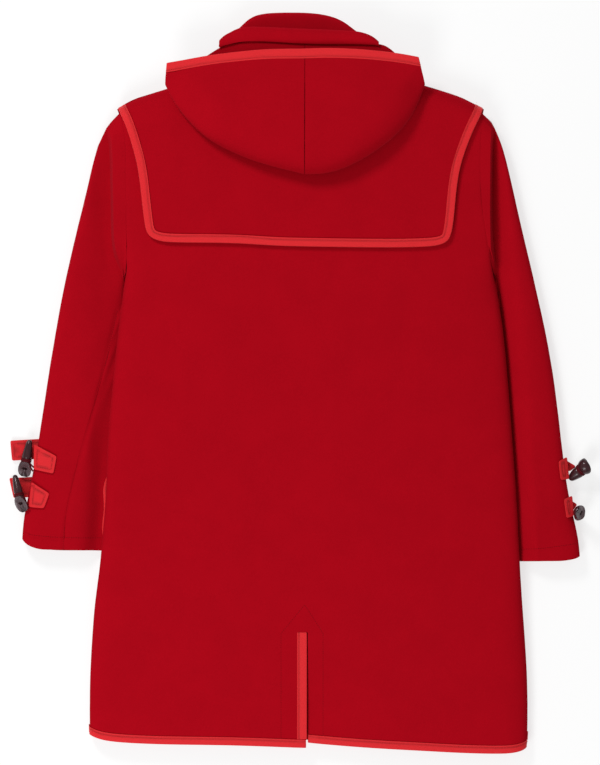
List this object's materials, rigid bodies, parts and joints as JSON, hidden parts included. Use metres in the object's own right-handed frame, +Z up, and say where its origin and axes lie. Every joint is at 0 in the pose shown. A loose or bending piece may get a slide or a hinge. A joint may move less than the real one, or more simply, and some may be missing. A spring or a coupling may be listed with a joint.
{
  "type": "hooded duffle coat laid flat on its front",
  "caption": "Wool duffle coat lying face down: hood, taped yoke, hem vent, sleeves with toggled cuff tabs, patch pockets and a front that laps over toggles.",
  "frame": {"origin": "centre of the footprint on the surface that the coat lies on", "axes": "+Z up from the surface, +Y from the hem towards the hood, +X to the right seen from above, which is the wearer's right"},
  "size_m": [0.7945, 1.0101, 0.076],
  "materials": {
    "wool": "felted melton wool, matt",
    "tape": "woven cotton tape",
    "strap": "doubled felt patch",
    "horn": "polished dark horn"
  },
  "bodies": {
    "root": {"back": "wool", "cuff_left_lower_loop": "strap", "cuff_left_lower_patch": "strap", "cuff_left_lower_toggle": "horn", "cuff_left_upper_loop": "strap", "cuff_left_upper_patch": "strap", "cuff_left_upper_toggle": "horn", "cuff_right_lower_loop": "strap", "cuff_right_lower_patch": "strap", "cuff_right_lower_toggle": "horn", "cuff_right_upper_loop": "strap", "cuff_right_upper_patch": "strap", "cuff_right_upper_toggle": "horn", "front_1_loop": "strap", "front_1_patch": "strap", "front_1_toggle": "horn", "front_2_loop": "strap", "front_2_patch": "strap", "front_2_toggle": "horn", "front_3_loop": "strap", "front_3_patch": "strap", "front_3_toggle": "horn", "front_4_loop": "strap", "front_4_patch": "strap", "front_4_toggle": "horn", "front_left": "wool", "front_right": "wool", "front_tape_left": "tape", "front_tape_right": "tape", "hem_tape_back_left": "tape", "hem_tape_back_right": "tape", "hem_tape_front_left": "tape", "hem_tape_front_right": "tape", "hood_left": "wool", "hood_right": "wool", "hood_tape": "tape", "neck_front": "wool", "neck_roll": "wool", "pocket_left": "wool", "pocket_right": "wool", "pocket_tape_left": "tape", "pocket_tape_right": "tape", "sleeve_under_left": "wool", "sleeve_under_right": "wool", "sleeve_upper_left": "wool", "sleeve_upper_right": "wool", "vent_tape": "tape", "vent_underlay": "wool", "yoke": "wool", "yoke_front_left": "wool", "yoke_front_right": "wool", "yoke_tape": "tape"}
  },
  "joints": []
}
